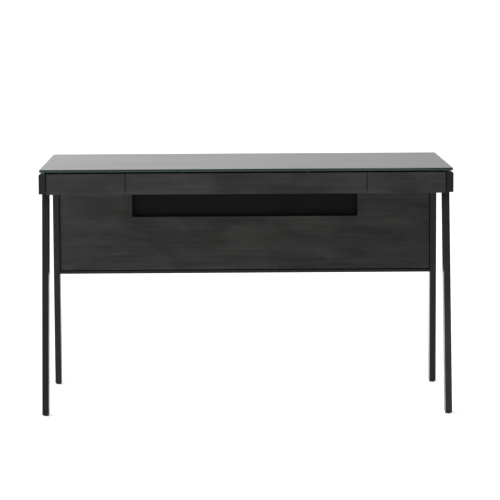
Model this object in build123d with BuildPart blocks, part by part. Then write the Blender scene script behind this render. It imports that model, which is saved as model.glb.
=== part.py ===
"""Writing desk with a glass top, three drawers and a slotted modesty panel.

Millimetres. +Z is up, the user sits on the -Y side, and the origin is on the
floor under the middle of the desk.
"""

import math
import os

from build123d import *

os.makedirs("parts", exist_ok=True)

# Overall sizes
desk_width = 1220.0  # over the outer faces of the two side frames
desk_depth = 610.0
desk_height = 737.0

# Glass top, carried on clear bumpers
glass_thickness = 8.0
glass_inset = 1.5  # from each side frame's outer face
glass_corner_radius = 4.0
glass_arris = 0.8
bumper_height = 4.0
bumper_diameter = 12.0
bumper_columns = 4
bumper_rows = 2
bumper_edge_distance = 40.0

# Steel side frames: a top rail with a raked front leg and an upright rear leg
tube_width = 20.0  # across the desk, the same for rails and legs
tube_wall = 2.0
rail_height = 60.0
rail_top_radius = 6.0
tube_edge_radius = 1.2
cap_thickness = 2.0
cap_plug_length = 12.0
leg_depth = 50.0
front_leg_top_setback = 127.0  # front face behind the desk's front, at the rail
front_leg_floor_setback = 5.0  # the same, at the floor
stretcher_height = 9.5
stretcher_bottom = 358.0
stretcher_depth = 44.0

# Levelling feet: a swivel pad and an M8 stud in each leg's insert
pad_diameter = 18.0
pad_height = 3.4
pad_edge_radius = 1.4
socket_depth = 1.8
collar_across_flats = 12.0
collar_height = 2.0
stud_diameter = 7.8
stud_length = 34.0
thread_bore = 8.0
insert_flange = 2.0
insert_plug_length = 24.0

# Case between the rails
case_top_thickness = 12.0
case_side_thickness = 12.0
divider_thickness = 16.0
case_side_height = 43.0
case_front_gap = 2.0  # behind the drawer fronts
case_to_leg_gap = 6.0  # between the case sides and the modesty panel

# Drawer fronts and boxes
front_thickness = 18.0
front_height = 61.5
front_top_gap = 0.5  # below the top of the side rails
front_end_gap = 3.0  # beside the side rails
front_reveal = 2.0  # between neighbouring fronts
divider_offset = 355.5  # reveal and divider centres, from the middle
front_edge_radius = 0.8
finger_bevel = 9.0
box_board = 12.0
box_bottom_board = 6.0
box_height = 36.0
box_top_clearance = 6.0  # below the case top
box_rear_space = 82.0  # between the boxes and the case sides' rear edge
groove_depth = 5.0
groove_lift = 3.0  # groove above the lower edge of the box sides

# Ball-bearing slides of about three-quarter extension
slide_thickness = 10.0
slide_height = 27.0
slide_metal = 1.2
slide_front_gap = 2.0
slide_rear_gap = 6.0  # in front of the box's rear edge
runner_height = 16.0
runner_depth = 7.0
channel_depth = 8.5
cage_sheet = 0.6
cage_web_offset = 1.6
cage_depth = 6.4
ball_diameter = 3.7
ball_offset = 5.2
ball_pitch = 18.0
balls_in_row = 6
cage_end = 8.0
runner_tail = 7.0  # runner left behind its ball cage when the drawer is out
slide_screw_diameter = 3.0
slide_screw_head_diameter = 5.8
slide_screw_length = 7.0
slide_screw_places = (0.06, 0.35, 0.65, 0.94)  # along the slide

# Modesty panel with its slot, and the cable space behind it
panel_thickness = 12.0
panel_setback = 6.0  # behind the front face of the rear legs
panel_side_gap = 2.5  # shadow gap beside the rear legs
panel_lift = 2.5  # shadow gap above the stretcher
slot_width = 717.0
slot_height = 111.0
slot_drop = 63.0  # below the panel's top edge
slot_corner_radius = 4.0
cover_thickness = 9.0
cover_rear_gap = 2.0
spacer_board = 12.0  # floor and sides of the cable space, closed on the stretcher and legs
cover_screw_edge = 5.5  # cover screws in from the cover's edges

# Fasteners and running clearances
bolt_diameter = 5.0
bolt_head_diameter = 9.0
bolt_head_height = 2.7
bolt_head_gap = 0.75  # above and below the case bolts' heads
bolt_end = 2.0  # shank past the tube wall
screw_diameter = 3.6
screw_head_diameter = 7.4
screw_tip_gap = 6.0  # cover screws end short of the modesty panel
hole_clearance = 0.4
fit_clearance = 0.3
glue_clearance = 0.1

# Places worked out from the sizes
front_y = -desk_depth / 2
rear_y = desk_depth / 2
glass_bottom = desk_height - glass_thickness
frame_top = glass_bottom - bumper_height
rail_bottom = frame_top - rail_height
outer_x = desk_width / 2
inner_x = outer_x - tube_width
pad_top = pad_height + fit_clearance
insert_bottom = pad_top + collar_height + fit_clearance
leg_bottom = insert_bottom + insert_flange
case_top_bottom = frame_top - case_top_thickness
case_side_bottom = case_top_bottom - case_side_height
case_front_y = front_y + front_thickness + case_front_gap
rear_leg_front_y = rear_y - leg_depth
panel_front_y = rear_leg_front_y + panel_setback
panel_rear_y = panel_front_y + panel_thickness
cover_rear_y = rear_y - cover_rear_gap
cover_front_y = cover_rear_y - cover_thickness
case_rear_y = panel_front_y - case_to_leg_gap
stretcher_top = stretcher_bottom + stretcher_height
panel_bottom = stretcher_top + panel_lift
panel_half_width = inner_x - panel_side_gap
case_inner_x = inner_x - case_side_thickness
front_top = frame_top - front_top_gap
front_bottom = front_top - front_height
box_top = case_top_bottom - box_top_clearance
box_bottom = box_top - box_height
box_front_y = front_y + front_thickness
box_rear_y = case_rear_y - box_rear_space
groove_bottom = box_bottom + groove_lift
cage_length = (balls_in_row - 1) * ball_pitch + 2 * cage_end
slide_front_y = case_front_y + slide_front_gap
slide_length = box_rear_y - slide_rear_gap - slide_front_y
slide_travel = slide_length - cage_length - runner_tail
case_bolt_z = case_top_bottom - bolt_head_gap - bolt_head_diameter / 2
slide_middle_z = case_bolt_z - bolt_head_diameter / 2 - bolt_head_gap - slide_height / 2
slide_screw_ys = [slide_front_y + part * slide_length for part in slide_screw_places]
outer_wall_x = divider_offset + divider_thickness / 2
middle_wall_x = divider_offset - divider_thickness / 2
slide_walls = {
    "left": ((-case_inner_x, 1), (-outer_wall_x, -1)),
    "centre": ((-middle_wall_x, 1), (middle_wall_x, -1)),
    "right": ((outer_wall_x, 1), (case_inner_x, -1)),
}
slot_bottom = case_top_bottom - slot_drop - slot_height
screw_length = cover_rear_y - panel_rear_y - screw_tip_gap


def spread(first, last):
    """Three places: both ends and the middle between them."""
    return [first, (first + last) / 2, last]


case_bolt_ys = spread(case_front_y + 45.0, case_rear_y - 35.0)
panel_bolt_y = (panel_rear_y + cover_front_y) / 2
panel_bolt_zs = spread(panel_bottom + 70.0, rail_bottom - 25.0)


def save(piece, name):
    """Label a finished piece and write it to its own file."""
    piece.part.label = name
    export_step(piece.part, f"parts/{name}.step")


def board(x0, x1, y0, y1, z0, z1, mode=Mode.ADD):
    """A plain board between two corners, added to or cut from the open part."""
    with BuildSketch(Plane.XY.offset(z0)) as outline:
        with Locations(((x0 + x1) / 2, (y0 + y1) / 2)):
            Rectangle(x1 - x0, y1 - y0)
    extrude(outline.sketch, amount=z1 - z0, mode=mode)


def cross_hole(x, side, points, diameter, depth):
    """Round holes along X at (y, z) points, cut outwards from the plane at x."""
    with BuildSketch(Plane.YZ.offset(x)) as circles:
        with Locations(*points):
            Circle(diameter / 2)
    extrude(circles.sketch, amount=side * depth, mode=Mode.SUBTRACT)


def slide_screws(wall_x, inward, growth, mode=Mode.ADD):
    """Countersunk screws flush in a slide's web and driven into its wall, or their holes."""
    head_radius = slide_screw_head_diameter / 2 + growth
    shank_radius = slide_screw_diameter / 2 + growth
    head_x = wall_x + inward * slide_metal
    tip_x = wall_x - inward * (slide_screw_length - slide_metal + growth)
    for y in slide_screw_ys:
        with BuildSketch(Plane.XY.offset(slide_middle_z)) as profile:
            Polygon(
                (head_x, y),
                (head_x, y + head_radius),
                (wall_x, y + shank_radius),
                (tip_x, y + shank_radius),
                (tip_x, y),
                align=None,
            )
        revolve(profile.sketch, Axis((head_x, y, slide_middle_z), (1, 0, 0)), mode=mode)


# ---------------------------------------------------------------- glass top

with BuildPart() as glass_top:
    with BuildSketch(Plane.XY.offset(glass_bottom)):
        RectangleRounded(desk_width - 2 * glass_inset, desk_depth, glass_corner_radius)
    extrude(amount=glass_thickness)
    flat_faces = glass_top.faces().filter_by(Axis.Z)
    chamfer(flat_faces.edges(), glass_arris)
save(glass_top, "glass_top")

bumper_span_x = 2 * (inner_x - bumper_edge_distance) / (bumper_columns - 1)
bumper_span_y = desk_depth - 2 * bumper_edge_distance
with BuildPart() as glass_bumpers:
    with BuildSketch(Plane.XY.offset(frame_top)):
        with GridLocations(bumper_span_x, bumper_span_y, bumper_columns, bumper_rows):
            Circle(bumper_diameter / 2)
    extrude(amount=bumper_height)
save(glass_bumpers, "glass_bumpers")


# -------------------------------------------------------------- side frames

rail_length = desk_depth - 2 * cap_thickness


def rail_outline(side, inset):
    """The rail's section on the XZ plane, its top outer corner well rounded."""
    with Locations((side * (outer_x - tube_width / 2), rail_bottom + rail_height / 2)):
        Rectangle(tube_width, rail_height)
    corners = vertices()
    top_outer = corners.sort_by(lambda v: side * v.X + v.Y)[-1]
    fillet(top_outer, rail_top_radius)
    others = vertices().group_by(lambda v: round(side * v.X + v.Y, 3))[:-2]
    fillet([v for group in others for v in group], tube_edge_radius)
    if inset:
        offset(amount=-inset, mode=Mode.REPLACE)


def side_rail(side):
    """A rectangular tube along the top of one side frame."""
    with BuildPart() as rail:
        with BuildSketch(Plane.XZ.offset(rail_length / 2)):
            rail_outline(side, 0)
        extrude(amount=-rail_length)
        with BuildSketch(Plane.XZ.offset(rail_length / 2)):
            rail_outline(side, tube_wall)
        extrude(amount=-rail_length, mode=Mode.SUBTRACT)
        points = [(y, case_bolt_z) for y in case_bolt_ys]
        cross_hole(side * inner_x, side, points, bolt_diameter + hole_clearance, tube_wall)
    return rail


save(side_rail(-1), "side_rail_left")
save(side_rail(1), "side_rail_right")

with BuildPart() as rail_end_caps:
    for side in (-1, 1):
        for end in (-1, 1):
            with BuildSketch(Plane.XZ.offset(end * rail_length / 2)):
                rail_outline(side, 0)
            extrude(amount=end * cap_thickness)
            with BuildSketch(Plane.XZ.offset(end * rail_length / 2)):
                rail_outline(side, tube_wall + glue_clearance)
            extrude(amount=-end * cap_plug_length)
save(rail_end_caps, "rail_end_caps")

front_leg_floor_y = front_y + front_leg_floor_setback
front_leg_top_y = front_y + front_leg_top_setback
rear_leg_y = rear_y - leg_depth


def leg_face_y(end, z):
    """The y of a leg's front face at height z: the front leg is raked, the rear upright."""
    if end > 0:
        return rear_leg_y
    return front_leg_floor_y + (front_leg_top_y - front_leg_floor_y) * z / rail_bottom


def leg_section(end, z0, z1, inset):
    """A leg's side outline on the YZ plane from z0 to z1, narrowed by inset on each face."""
    rake = math.atan2(leg_face_y(end, rail_bottom) - leg_face_y(end, 0), rail_bottom)
    step = inset / math.cos(rake)
    Polygon(
        (leg_face_y(end, z0) + step, z0),
        (leg_face_y(end, z0) + leg_depth - step, z0),
        (leg_face_y(end, z1) + leg_depth - step, z1),
        (leg_face_y(end, z1) + step, z1),
        align=None,
    )


def leg(side, end):
    """One tubular leg, from its insert up to the underside of the rail."""
    with BuildPart() as tube:
        with BuildSketch(Plane.YZ.offset(side * outer_x)):
            leg_section(end, leg_bottom, rail_bottom, 0)
        extrude(amount=-side * tube_width)
        fillet(tube.edges().sort_by(SortBy.LENGTH)[-4:], tube_edge_radius)
        with BuildSketch(Plane.YZ.offset(side * (outer_x - tube_wall))):
            leg_section(end, leg_bottom, rail_bottom, tube_wall)
        extrude(amount=-side * (tube_width - 2 * tube_wall), mode=Mode.SUBTRACT)
        if end > 0:
            points = [(panel_bolt_y, z) for z in panel_bolt_zs]
            hole = bolt_diameter + hole_clearance
            cross_hole(side * inner_x, side, points, hole, tube_wall)
    return tube


leg_names = {
    "front_left": (-1, -1),
    "front_right": (1, -1),
    "rear_left": (-1, 1),
    "rear_right": (1, 1),
}
for place, (side, end) in leg_names.items():
    row, hand = place.split("_")
    save(leg(side, end), f"{row}_leg_{hand}")


def foot_place(side, end):
    """The middle of a leg's foot, where its stud stands."""
    return side * (outer_x - tube_width / 2), leg_face_y(end, leg_bottom) + leg_depth / 2


with BuildPart() as leg_inserts:
    for side, end in leg_names.values():
        with BuildSketch(Plane.YZ.offset(side * outer_x)):
            leg_section(end, insert_bottom, leg_bottom, 0)
        extrude(amount=-side * tube_width)
        plug_inset = tube_wall + glue_clearance
        with BuildSketch(Plane.YZ.offset(side * (outer_x - plug_inset))):
            leg_section(end, leg_bottom, leg_bottom + insert_plug_length, plug_inset)
        extrude(amount=-side * (tube_width - 2 * plug_inset))
        with BuildSketch(Plane.XY.offset(insert_bottom)):
            with Locations(foot_place(side, end)):
                Circle(thread_bore / 2)
        extrude(amount=insert_flange + insert_plug_length, mode=Mode.SUBTRACT)
save(leg_inserts, "leg_inserts")

with BuildPart() as rear_stretcher:
    stretcher_rear_y = rear_y - cover_rear_gap
    board(
        -inner_x,
        inner_x,
        stretcher_rear_y - stretcher_depth,
        stretcher_rear_y,
        stretcher_bottom,
        stretcher_top,
    )
    fillet(rear_stretcher.edges().filter_by(Axis.X), tube_edge_radius)
save(rear_stretcher, "rear_stretcher")


# ----------------------------------------------------------- levelling feet


def foot_pad(x, y):
    """A round swivel pad with a shallow socket for the stud."""
    with BuildPart() as pad:
        with BuildSketch():
            with Locations((x, y)):
                Circle(pad_diameter / 2)
        extrude(amount=pad_height)
        fillet(pad.edges().group_by(Axis.Z)[0], pad_edge_radius)
        with BuildSketch(Plane.XY.offset(pad_height)):
            with Locations((x, y)):
                Circle(thread_bore / 2)
        extrude(amount=-socket_depth, mode=Mode.SUBTRACT)
    return pad


def foot_stud(x, y):
    """The threaded stud, drawn at its mean diameter, with its spanner collar."""
    foot_end = pad_height - socket_depth + fit_clearance
    with BuildPart() as stud:
        with BuildSketch(Plane.XY.offset(foot_end)):
            with Locations((x, y)):
                Circle(stud_diameter / 2)
        extrude(amount=stud_length)
        with BuildSketch(Plane.XY.offset(pad_top)):
            with Locations((x, y)):
                RegularPolygon(collar_across_flats / 2, 6, major_radius=False)
        extrude(amount=collar_height)
    return stud


for place, (side, end) in leg_names.items():
    save(foot_pad(*foot_place(side, end)), f"foot_pad_{place}")
    save(foot_stud(*foot_place(side, end)), f"foot_stud_{place}")


# --------------------------------------------------------------------- case

with BuildPart() as case_top:
    board(-inner_x, inner_x, case_front_y, cover_rear_y, case_top_bottom, frame_top)
save(case_top, "case_top")


def case_side(side):
    """A case end board, bolted to the inner face of the rail."""
    with BuildPart() as end_board:
        x0, x1 = sorted((side * case_inner_x, side * inner_x))
        board(x0, x1, case_front_y, case_rear_y, case_side_bottom, case_top_bottom)
        points = [(y, case_bolt_z) for y in case_bolt_ys]
        hole = bolt_diameter + hole_clearance
        cross_hole(side * case_inner_x, side, points, hole, case_side_thickness)
        slide_screws(side * case_inner_x, -side, glue_clearance, Mode.SUBTRACT)
    return end_board


def divider(side):
    """The upright between the middle drawer and a side drawer."""
    with BuildPart() as upright:
        middle = side * divider_offset
        half = divider_thickness / 2
        x0, x1 = middle - half, middle + half
        board(x0, x1, case_front_y, case_rear_y, case_side_bottom, case_top_bottom)
        slide_screws(side * outer_wall_x, side, glue_clearance, Mode.SUBTRACT)
        slide_screws(side * middle_wall_x, -side, glue_clearance, Mode.SUBTRACT)
    return upright


for side, hand in ((-1, "left"), (1, "right")):
    save(case_side(side), f"case_side_{hand}")
    save(divider(side), f"divider_{hand}")


def bolts(head_x, reach, points):
    """Button-head bolts along X on both sides, from their seats at head_x outwards."""
    with BuildPart() as group:
        for side in (-1, 1):
            with BuildSketch(Plane.YZ.offset(side * head_x)):
                with Locations(*points):
                    Circle(bolt_head_diameter / 2)
            extrude(amount=-side * bolt_head_height)
            rims = group.edges().filter_by(GeomType.CIRCLE)
            tops = rims.group_by(lambda e: round(side * e.center().X, 2))[0]
            fillet(tops, bolt_head_height / 2)
            with BuildSketch(Plane.YZ.offset(side * head_x)):
                with Locations(*points):
                    Circle(bolt_diameter / 2)
            extrude(amount=side * reach)
    return group


case_bolt_reach = case_side_thickness + tube_wall + bolt_end
save(bolts(case_inner_x, case_bolt_reach, [(y, case_bolt_z) for y in case_bolt_ys]), "case_bolts")


# -------------------------------------------- modesty panel and cable space

with BuildPart() as modesty_panel:
    board(
        -panel_half_width,
        panel_half_width,
        panel_front_y,
        panel_rear_y,
        panel_bottom,
        case_top_bottom,
    )
    with BuildSketch(Plane.XZ.offset(-panel_front_y)):
        with Locations((0, slot_bottom + slot_height / 2)):
            RectangleRounded(slot_width, slot_height, slot_corner_radius)
    extrude(amount=-panel_thickness, mode=Mode.SUBTRACT)
save(modesty_panel, "modesty_panel")

spacer_x = inner_x - spacer_board
screw_points = [
    (side * (panel_half_width - cover_screw_edge), z)
    for side in (-1, 1)
    for z in (panel_bottom + 35.0, case_top_bottom - 35.0)
]
screw_points += [(side * slot_width / 4, panel_bottom + cover_screw_edge) for side in (-1, 1)]


def pilot_holes():
    """Holes for the cover screws, cut forwards into the open spacer."""
    with BuildSketch(Plane.XZ.offset(-cover_front_y)) as circles:
        with Locations(*screw_points):
            Circle((screw_diameter + hole_clearance) / 2)
    extrude(circles.sketch, amount=screw_length - cover_thickness + 1.0, mode=Mode.SUBTRACT)


with BuildPart() as compartment_floor:
    floor_top = stretcher_top + spacer_board
    board(-spacer_x, spacer_x, panel_rear_y, cover_front_y, stretcher_top, floor_top)
    pilot_holes()
save(compartment_floor, "compartment_floor")

with BuildPart() as compartment_sides:
    for side in (-1, 1):
        x0, x1 = sorted((side * spacer_x, side * inner_x))
        board(x0, x1, panel_rear_y, cover_front_y, stretcher_top, case_top_bottom)
        points = [(panel_bolt_y, z) for z in panel_bolt_zs]
        hole = bolt_diameter + hole_clearance
        cross_hole(side * spacer_x, side, points, hole, spacer_board)
    pilot_holes()
save(compartment_sides, "compartment_sides")

with BuildPart() as rear_cover:
    board(
        -panel_half_width,
        panel_half_width,
        cover_front_y,
        cover_rear_y,
        panel_bottom,
        case_top_bottom,
    )
    with Locations(Plane(origin=(0, cover_rear_y, 0), x_dir=(-1, 0, 0), z_dir=(0, 1, 0))):
        with Locations(*[(-x, z) for x, z in screw_points]):
            CounterSinkHole(
                (screw_diameter + hole_clearance) / 2,
                screw_head_diameter / 2 + hole_clearance,
                cover_thickness,
                90,
            )
save(rear_cover, "rear_cover")

with BuildPart() as cover_screws:
    head_drop = (screw_head_diameter - screw_diameter) / 2
    for x, z in screw_points:
        screw_axis = Axis((x, cover_rear_y, z), (0, 1, 0))
        with BuildSketch(Plane(origin=(x, cover_rear_y, z), x_dir=(1, 0, 0), z_dir=(0, 0, 1))):
            with BuildLine():
                Polyline(
                    (0, 0),
                    (screw_head_diameter / 2, 0),
                    (screw_diameter / 2, -head_drop),
                    (screw_diameter / 2, -screw_length + screw_diameter / 2),
                    (0, -screw_length),
                    close=True,
                )
            make_face()
        revolve(axis=screw_axis)
save(cover_screws, "cover_screws")

panel_bolt_reach = spacer_board + tube_wall + bolt_end
save(bolts(spacer_x, panel_bolt_reach, [(panel_bolt_y, z) for z in panel_bolt_zs]), "panel_bolts")


# ------------------------------------------------------------------ drawers


def drawer_front(x0, x1):
    """An applied front with a bevel behind its lower edge for the fingers."""
    with BuildPart() as front:
        board(x0, x1, front_y, front_y + front_thickness, front_bottom, front_top)
        face = front.faces().sort_by(Axis.Y)[0]
        fillet(face.edges(), front_edge_radius)
        lower_rear = front.edges().filter_by(Axis.X).group_by(Axis.Z)[0].sort_by(Axis.Y)[-1]
        chamfer(lower_rear, finger_bevel)
    return front


def box_side(x0, x1, groove_x0, groove_x1):
    """A drawer box side with the groove that takes the bottom board."""
    with BuildPart() as side_board:
        board(x0, x1, box_front_y, box_rear_y, box_bottom, box_top)
        board(
            groove_x0,
            groove_x1,
            box_front_y,
            box_rear_y,
            groove_bottom,
            groove_bottom + box_bottom_board + glue_clearance,
            mode=Mode.SUBTRACT,
        )
    return side_board


def slide_section(wall_x, inward, near, far, height, mode=Mode.ADD):
    """A block of a slide's section on XZ, reaching from near to far off the wall."""
    x0, x1 = sorted((wall_x + inward * near, wall_x + inward * far))
    with Locations(((x0 + x1) / 2, slide_middle_z)):
        Rectangle(x1 - x0, height, mode=mode)


def slide_member(wall_x, inward, near, far, height, web_on_wall):
    """One length of C-channel along Y, its web on the case wall or on the drawer."""
    if web_on_wall:
        void_near, void_far = near + slide_metal, far
    else:
        void_near, void_far = near, far - slide_metal
    with BuildSketch(Plane.XZ.offset(-slide_front_y)) as strip:
        slide_section(wall_x, inward, near, far, height)
        slide_section(wall_x, inward, void_near, void_far, height - 2 * slide_metal, Mode.SUBTRACT)
    extrude(strip.sketch, amount=-slide_length)


race_z = (runner_height + slide_height - 2 * slide_metal) / 4
cage_front_y = slide_front_y + slide_travel / 2
cage_middle_y = cage_front_y + cage_length / 2


def ball_cage(wall_x, inward):
    """The sheet cage between the two members, with a row of ball holes in each flange."""
    height = 2 * race_z + cage_sheet
    near = cage_web_offset
    far = near + cage_depth
    inside = height - 2 * cage_sheet
    with BuildSketch(Plane.XZ.offset(-cage_front_y)) as strip:
        slide_section(wall_x, inward, near, far, height)
        slide_section(wall_x, inward, near + cage_sheet, far, inside, Mode.SUBTRACT)
    extrude(strip.sketch, amount=-cage_length)
    with BuildSketch(Plane.XY.offset(slide_middle_z - height)) as circles:
        with Locations((wall_x + inward * ball_offset, cage_middle_y)):
            with GridLocations(0, ball_pitch, 1, balls_in_row):
                Circle(ball_diameter / 2 + glue_clearance)
    extrude(circles.sketch, amount=2 * height, mode=Mode.SUBTRACT)


def drawer(name, front_edges):
    """Every piece of one drawer: its front, its box, and both slides."""
    walls = slide_walls[name]
    opening_x0, opening_x1 = walls[0][0], walls[1][0]
    box_x0, box_x1 = opening_x0 + slide_thickness, opening_x1 - slide_thickness
    inner_x0, inner_x1 = box_x0 + box_board, box_x1 - box_board
    groove = groove_depth
    save(drawer_front(*front_edges), f"{name}_drawer_front")
    left = box_side(box_x0, inner_x0, inner_x0 - groove, inner_x0)
    save(left, f"{name}_drawer_side_left")
    right = box_side(inner_x1, box_x1, inner_x1, inner_x1 + groove)
    save(right, f"{name}_drawer_side_right")

    bottom_top = groove_bottom + box_bottom_board
    with BuildPart() as box_front:
        rear_face = box_front_y + box_board
        board(inner_x0, inner_x1, box_front_y, rear_face, box_bottom, box_top)
        board(
            inner_x0,
            inner_x1,
            rear_face - groove,
            rear_face,
            groove_bottom,
            bottom_top + glue_clearance,
            mode=Mode.SUBTRACT,
        )
    save(box_front, f"{name}_drawer_box_front")

    with BuildPart() as back:
        back_bottom = bottom_top + glue_clearance
        board(inner_x0, inner_x1, box_rear_y - box_board, box_rear_y, back_bottom, box_top)
    save(back, f"{name}_drawer_back")

    reach = groove - glue_clearance
    with BuildPart() as bottom:
        board(
            inner_x0 - reach,
            inner_x1 + reach,
            rear_face - reach,
            box_rear_y,
            groove_bottom,
            bottom_top,
        )
    save(bottom, f"{name}_drawer_bottom")

    with BuildPart() as channels:
        for wall_x, inward in walls:
            slide_member(wall_x, inward, 0, channel_depth, slide_height, True)
            slide_screws(wall_x, inward, glue_clearance, Mode.SUBTRACT)
    save(channels, f"{name}_slide_channels")

    with BuildPart() as runners:
        for wall_x, inward in walls:
            near = slide_thickness - runner_depth
            slide_member(wall_x, inward, near, slide_thickness, runner_height, False)
    save(runners, f"{name}_slide_runners")

    with BuildPart() as cages:
        for wall_x, inward in walls:
            ball_cage(wall_x, inward)
        for wall_x, inward in walls:
            for z in (slide_middle_z - race_z, slide_middle_z + race_z):
                with Locations((wall_x + inward * ball_offset, cage_middle_y, z)):
                    with GridLocations(0, ball_pitch, 1, balls_in_row):
                        Sphere(ball_diameter / 2)
    save(cages, f"{name}_ball_cages")


with BuildPart() as channel_screws:
    for walls in slide_walls.values():
        for wall_x, inward in walls:
            slide_screws(wall_x, inward, 0)
save(channel_screws, "channel_screws")

front_end_x = inner_x - front_end_gap
reveal_outer_x = divider_offset + front_reveal / 2
reveal_inner_x = divider_offset - front_reveal / 2
drawer("left", (-front_end_x, -reveal_outer_x))
drawer("centre", (-reveal_inner_x, reveal_inner_x))
drawer("right", (reveal_outer_x, front_end_x))
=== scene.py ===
"""Looks of the glass-topped writing desk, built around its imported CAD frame."""

import math

import bmesh
import bpy
from bpy.props import FloatProperty, FloatVectorProperty, IntProperty, PointerProperty
from mathutils import Matrix, Vector


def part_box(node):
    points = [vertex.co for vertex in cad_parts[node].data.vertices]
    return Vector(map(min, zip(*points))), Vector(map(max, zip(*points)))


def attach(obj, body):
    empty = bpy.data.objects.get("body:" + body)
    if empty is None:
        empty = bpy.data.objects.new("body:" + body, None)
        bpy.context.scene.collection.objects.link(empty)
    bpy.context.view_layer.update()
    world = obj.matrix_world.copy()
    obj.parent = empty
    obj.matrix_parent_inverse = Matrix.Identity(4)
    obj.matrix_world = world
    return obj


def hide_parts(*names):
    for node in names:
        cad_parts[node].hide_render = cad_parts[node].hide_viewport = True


bl_info = {
    "name": "Glass-topped writing desk",
    "version": (1, 0, 0),
    "blender": (4, 5, 0),
    "location": "View3D > Sidebar > Desk",
    "description": "Materials, fasteners, feet, glass and studio of a writing desk with drawers",
    "category": "Object",
}

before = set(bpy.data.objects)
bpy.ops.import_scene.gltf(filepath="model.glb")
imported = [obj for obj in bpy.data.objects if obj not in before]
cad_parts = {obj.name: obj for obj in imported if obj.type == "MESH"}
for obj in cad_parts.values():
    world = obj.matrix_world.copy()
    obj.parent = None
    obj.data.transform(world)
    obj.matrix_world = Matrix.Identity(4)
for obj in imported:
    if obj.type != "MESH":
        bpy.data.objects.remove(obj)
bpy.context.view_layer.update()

MM = 0.001
DRAWERS = ("left", "centre", "right")
FEET = ("front_left", "front_right", "rear_left", "rear_right")

# Fasteners
BOLT_HEAD_HEIGHT = 2.7 * MM
BOLT_SHANK_RADIUS = 2.5 * MM
COVER_SCREW_SHANK_RADIUS = 1.8 * MM
RUNNER_SHEET = 1.2 * MM
RUNNER_SCREW_PLACES = (0.08, 0.36, 0.64, 0.92)  # along the runner
RECESS_HALF_ANGLE = math.radians(14)  # half the width of a cross recess's arm
SCREW_SEGMENTS = 32
BOLT_SEGMENTS = 24

# Levelling feet
PAD_SOCKET_RADIUS = 4.0 * MM
PAD_SOCKET_DEPTH = 1.8 * MM
PAD_RIB_DEPTH = 0.25 * MM
STUD_RADIUS = 3.9 * MM
COLLAR_UNDERSIDE = 3.7 * MM  # above the floor, at rest
COLLAR_HEIGHT = 2.0 * MM
THREAD_STEPS = 6  # rings in one turn of the thread

# Studio, in metres and radians
FLOOR_HALF = 400.0
SOFT_KEY_SIZE = (3.0, 2.4)
SOFT_KEY_PLACE = (-2.9, -2.2, 1.5)
LEG_CARD_SIZE = (0.7, 0.6)
LEG_CARD_PLACE = (1.35, -7.4, 1.5)
LIGHTS_AIM = (0.0, 0.0, 0.4)
SURROUND_BLEND = 0.16  # x of the direction in which the walls reach each brightness
SURROUND_LEFT = 1.42
SURROUND_RIGHT = 0.80
CAMERA_PLACE = (-0.0619, -7.2287, 1.3040)
CAMERA_YAW, CAMERA_PITCH, CAMERA_ROLL = 0.0104, 0.116, 0.0050


def linear(hex_colour):
    """An sRGB hex colour as linear red, green and blue."""
    channels = [int(hex_colour[i : i + 2], 16) / 255 for i in (0, 2, 4)]
    return tuple(c / 12.92 if c <= 0.04045 else ((c + 0.055) / 1.055) ** 2.4 for c in channels)


def colour_property(name, description, hex_colour):
    """A colour that the user can change, given by its sRGB hex value."""
    return FloatVectorProperty(
        name=name,
        description=description,
        subtype="COLOR",
        min=0.0,
        max=1.0,
        default=linear(hex_colour),
    )


def length_property(name, description, millimetres):
    """A length that the user can change, given in millimetres and kept in metres."""
    return FloatProperty(
        name=name,
        description=description,
        default=millimetres * MM,
        min=0.0,
        unit="LENGTH",
        subtype="DISTANCE",
        precision=5,
    )


class DeskFinishes(bpy.types.PropertyGroup):
    """Colours of the desk's materials."""

    glass: colour_property("Glass", "Dark paint seen through the etched glass top", "2c2823")
    glass_edge: colour_property("Glass edge", "Deep green of the polished glass edge", "062219")
    ash: colour_property("Stained ash", "Charcoal stain on the ash veneer", "171717")
    ash_pore: colour_property("Ash pore", "Darker stain that gathers in the open pores", "0f0f0f")
    ash_ray: colour_property("Ash light grain", "Paler late wood between the pores", "2d2d2d")
    # Painted shade: near-black, darker than dyed fibre alone, so the cable space seen through the slot
    # looks shaded
    painted_shade_fibre: colour_property("Raw fibre", "Black-dyed fibre inside the cable space", "020202")
    powder: colour_property("Powder coat", "Satin black powder coat on the steel", "0f0f0f")
    nylon: colour_property("Nylon", "Moulded black nylon of caps and feet", "101010")
    zinc: colour_property("Zinc", "Bright zinc plate on slides and studs", "b9bdc1")
    oxide: colour_property("Black oxide", "Black oxide skin on the bolts", "26262a")
    birch: colour_property("Birch", "Lacquered birch face veneer", "d3c0a0")
    birch_dark: colour_property("Birch core", "Darker glue lines and core plies", "a08560")
    bumper: colour_property("Bumper", "Clear polyurethane of the glass bumpers", "dfe3e2")


class DeskHardware(bpy.types.PropertyGroup):
    """Sizes of the desk's fasteners, feet and glass edge."""

    arris: length_property("Arris", "Width of the ground bevel round the glass", 0.8)
    corner: length_property("Glass corner", "Radius of the glass top's corners", 4.0)
    socket_flats: length_property("Socket", "Across the flats of a bolt head's hex socket", 3.0)
    socket_depth: length_property("Socket depth", "Depth of a bolt head's hex socket", 1.5)
    thread_pitch: length_property("Thread pitch", "Pitch of the levelling feet's M8 thread", 1.25)
    thread_depth: length_property("Thread depth", "Depth of the levelling feet's thread", 0.6)
    pad_ribs: IntProperty(
        name="Pad ribs",
        description="Grip ribs round the rim of a levelling foot's pad",
        default=18,
        min=6,
        max=48,
    )
    slide_screw: length_property("Slide screw head", "Head diameter of a slide's screws", 6.0)


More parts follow.
